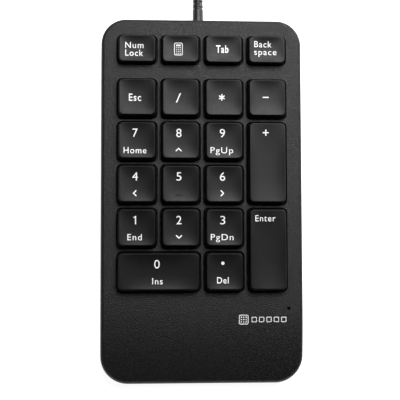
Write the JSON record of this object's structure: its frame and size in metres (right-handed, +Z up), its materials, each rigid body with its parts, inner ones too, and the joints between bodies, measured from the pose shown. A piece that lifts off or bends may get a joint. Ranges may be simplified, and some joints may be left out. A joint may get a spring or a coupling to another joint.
{
  "type": "numeric keypad",
  "caption": "Low black desktop numeric keypad with a sloped deck, square keys in a grid, long plus, enter and zero keys, a palm rest and a corded USB plug.",
  "frame": {"origin": "middle of the keypad's footprint on the plane of its feet", "axes": "+X to the user's right, +Y to the rear where the cable leaves, +Z up"},
  "size_m": [0.0917, 0.2665, 0.0271],
  "materials": {
    "housing_plastic": "fine even grain, near black",
    "base_plastic": "fine grain, near black",
    "key_plastic": "satin black caps with printed white legends",
    "guide_plastic": "moulded, unpolished",
    "foot_rubber": "dull black",
    "dome_silicone": "translucent off-white silicone",
    "membrane_film": "clear polyester film with printed silver tracks",
    "plate_steel": "zinc-plated sheet",
    "screw_steel": "black zinc",
    "board_laminate": "green solder mask",
    "chip_resin": "black moulding",
    "connector_nylon": "natural nylon",
    "lamp_resin": "clear resin",
    "light_pipe_clear": "smoked clear plastic",
    "cable_jacket": "soft black PVC, slight sheen",
    "plug_steel": "nickel-plated, bright",
    "tongue_plastic": "black insulator"
  },
  "bodies": {
    "housing": {"top_cover": "housing_plastic", "bottom_cover": "base_plastic", "key_frame": "guide_plastic", "rubber_dome_sheet": "dome_silicone", "membrane_top_layer": "membrane_film", "membrane_spacer": "membrane_film", "membrane_bottom_layer": "membrane_film", "support_plate": "plate_steel", "controller_board": "board_laminate", "controller_chip": "chip_resin", "lead_header": "connector_nylon", "lead_connector": "connector_nylon", "tail_clamp": "chip_resin", "num_lock_lamp": "lamp_resin", "light_pipe": "light_pipe_clear", "cable_boot": "cable_jacket", "inner_lead": "cable_jacket", "cable_lead": "cable_jacket", "cable_tail": "cable_jacket", "cable_coil": "cable_jacket", "cable_tie": "cable_jacket", "usb_plug_overmould": "cable_jacket", "usb_plug_shell": "plug_steel", "usb_plug_tongue": "tongue_plastic", "screw_rear_left": "screw_steel", "screw_rear_right": "screw_steel", "screw_middle_left": "screw_steel", "screw_middle_right": "screw_steel", "screw_front_left": "screw_steel", "screw_front_right": "screw_steel", "rubber_foot_rear_left": "foot_rubber", "rubber_foot_rear_right": "foot_rubber", "rubber_foot_front_left": "foot_rubber", "rubber_foot_front_right": "foot_rubber"},
    "cap_num_lock": {"key_num_lock": "key_plastic"},
    "cap_calculator": {"key_calculator": "key_plastic"},
    "cap_tab": {"key_tab": "key_plastic"},
    "cap_backspace": {"key_backspace": "key_plastic"},
    "cap_escape": {"key_escape": "key_plastic"},
    "cap_divide": {"key_divide": "key_plastic"},
    "cap_multiply": {"key_multiply": "key_plastic"},
    "cap_minus": {"key_minus": "key_plastic"},
    "cap_7": {"key_7": "key_plastic"},
    "cap_8": {"key_8": "key_plastic"},
    "cap_9": {"key_9": "key_plastic"},
    "cap_plus": {"key_plus": "key_plastic"},
    "cap_4": {"key_4": "key_plastic"},
    "cap_5": {"key_5": "key_plastic"},
    "cap_6": {"key_6": "key_plastic"},
    "cap_1": {"key_1": "key_plastic"},
    "cap_2": {"key_2": "key_plastic"},
    "cap_3": {"key_3": "key_plastic"},
    "cap_enter": {"key_enter": "key_plastic"},
    "cap_0": {"key_0": "key_plastic"},
    "cap_decimal": {"key_decimal": "key_plastic"}
  },
  "joints": [
    {"name": "press_num_lock", "type": "slide", "parent": "housing", "child": "cap_num_lock", "axis": [0, 0.0698, -0.9976], "range_m": [0, 0.0025], "stiffness_N_per_m": 150, "springref_m": -0.0015, "deforming": ["rubber_dome_sheet"]},
    {"name": "press_calculator", "type": "slide", "parent": "housing", "child": "cap_calculator", "axis": [0, 0.0698, -0.9976], "range_m": [0, 0.0025], "stiffness_N_per_m": 150, "springref_m": -0.0015, "deforming": ["rubber_dome_sheet"]},
    {"name": "press_tab", "type": "slide", "parent": "housing", "child": "cap_tab", "axis": [0, 0.0698, -0.9976], "range_m": [0, 0.0025], "stiffness_N_per_m": 150, "springref_m": -0.0015, "deforming": ["rubber_dome_sheet"]},
    {"name": "press_backspace", "type": "slide", "parent": "housing", "child": "cap_backspace", "axis": [0, 0.0698, -0.9976], "range_m": [0, 0.0025], "stiffness_N_per_m": 150, "springref_m": -0.0015, "deforming": ["rubber_dome_sheet"]},
    {"name": "press_escape", "type": "slide", "parent": "housing", "child": "cap_escape", "axis": [0, 0.0698, -0.9976], "range_m": [0, 0.0025], "stiffness_N_per_m": 150, "springref_m": -0.0015, "deforming": ["rubber_dome_sheet"]},
    {"name": "press_divide", "type": "slide", "parent": "housing", "child": "cap_divide", "axis": [0, 0.0698, -0.9976], "range_m": [0, 0.0025], "stiffness_N_per_m": 150, "springref_m": -0.0015, "deforming": ["rubber_dome_sheet"]},
    {"name": "press_multiply", "type": "slide", "parent": "housing", "child": "cap_multiply", "axis": [0, 0.0698, -0.9976], "range_m": [0, 0.0025], "stiffness_N_per_m": 150, "springref_m": -0.0015, "deforming": ["rubber_dome_sheet"]},
    {"name": "press_minus", "type": "slide", "parent": "housing", "child": "cap_minus", "axis": [0, 0.0698, -0.9976], "range_m": [0, 0.0025], "stiffness_N_per_m": 150, "springref_m": -0.0015, "deforming": ["rubber_dome_sheet"]},
    {"name": "press_7", "type": "slide", "parent": "housing", "child": "cap_7", "axis": [0, 0.0698, -0.9976], "range_m": [0, 0.0025], "stiffness_N_per_m": 150, "springref_m": -0.0015, "deforming": ["rubber_dome_sheet"]},
    {"name": "press_8", "type": "slide", "parent": "housing", "child": "cap_8", "axis": [0, 0.0698, -0.9976], "range_m": [0, 0.0025], "stiffness_N_per_m": 150, "springref_m": -0.0015, "deforming": ["rubber_dome_sheet"]},
    {"name": "press_9", "type": "slide", "parent": "housing", "child": "cap_9", "axis": [0, 0.0698, -0.9976], "range_m": [0, 0.0025], "stiffness_N_per_m": 150, "springref_m": -0.0015, "deforming": ["rubber_dome_sheet"]},
    {"name": "press_plus", "type": "slide", "parent": "housing", "child": "cap_plus", "axis": [0, 0.0698, -0.9976], "range_m": [0, 0.0025], "stiffness_N_per_m": 150, "springref_m": -0.0015, "deforming": ["rubber_dome_sheet"]},
    {"name": "press_4", "type": "slide", "parent": "housing", "child": "cap_4", "axis": [0, 0.0698, -0.9976], "range_m": [0, 0.0025], "stiffness_N_per_m": 150, "springref_m": -0.0015, "deforming": ["rubber_dome_sheet"]},
    {"name": "press_5", "type": "slide", "parent": "housing", "child": "cap_5", "axis": [0, 0.0698, -0.9976], "range_m": [0, 0.0025], "stiffness_N_per_m": 150, "springref_m": -0.0015, "deforming": ["rubber_dome_sheet"]},
    {"name": "press_6", "type": "slide", "parent": "housing", "child": "cap_6", "axis": [0, 0.0698, -0.9976], "range_m": [0, 0.0025], "stiffness_N_per_m": 150, "springref_m": -0.0015, "deforming": ["rubber_dome_sheet"]},
    {"name": "press_1", "type": "slide", "parent": "housing", "child": "cap_1", "axis": [0, 0.0698, -0.9976], "range_m": [0, 0.0025], "stiffness_N_per_m": 150, "springref_m": -0.0015, "deforming": ["rubber_dome_sheet"]},
    {"name": "press_2", "type": "slide", "parent": "housing", "child": "cap_2", "axis": [0, 0.0698, -0.9976], "range_m": [0, 0.0025], "stiffness_N_per_m": 150, "springref_m": -0.0015, "deforming": ["rubber_dome_sheet"]},
    {"name": "press_3", "type": "slide", "parent": "housing", "child": "cap_3", "axis": [0, 0.0698, -0.9976], "range_m": [0, 0.0025], "stiffness_N_per_m": 150, "springref_m": -0.0015, "deforming": ["rubber_dome_sheet"]},
    {"name": "press_enter", "type": "slide", "parent": "housing", "child": "cap_enter", "axis": [0, 0.0698, -0.9976], "range_m": [0, 0.0025], "stiffness_N_per_m": 150, "springref_m": -0.0015, "deforming": ["rubber_dome_sheet"]},
    {"name": "press_0", "type": "slide", "parent": "housing", "child": "cap_0", "axis": [0, 0.0698, -0.9976], "range_m": [0, 0.0025], "stiffness_N_per_m": 150, "springref_m": -0.0015, "deforming": ["rubber_dome_sheet"]},
    {"name": "press_decimal", "type": "slide", "parent": "housing", "child": "cap_decimal", "axis": [0, 0.0698, -0.9976], "range_m": [0, 0.0025], "stiffness_N_per_m": 150, "springref_m": -0.0015, "deforming": ["rubber_dome_sheet"]}
  ]
}
